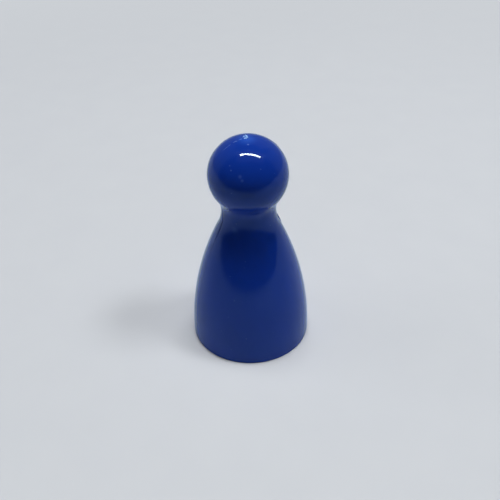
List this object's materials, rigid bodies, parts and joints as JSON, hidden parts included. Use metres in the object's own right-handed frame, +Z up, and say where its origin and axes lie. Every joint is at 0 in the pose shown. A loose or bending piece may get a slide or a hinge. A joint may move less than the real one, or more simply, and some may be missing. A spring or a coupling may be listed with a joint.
{
  "type": "halma pawn",
  "caption": "Glossy blue plastic halma pawn with a ball head, a waisted neck and a flared skirt, a hollow moulding of joined half shells with a plugged foot, moved by hand on a board.",
  "frame": {"origin": "centre of the foot, on the surface that the pawn stands on", "axes": "+Z up along the pawn's axis, +X along the joint between the half shells, the front half shell on the -Y side"},
  "size_m": [0.0132, 0.0132, 0.0241],
  "materials": {
    "blue_polystyrene": "polished injection moulding"
  },
  "bodies": {
    "root": {"front_half_shell": "blue_polystyrene", "rear_half_shell": "blue_polystyrene", "base_plug": "blue_polystyrene"}
  },
  "joints": []
}
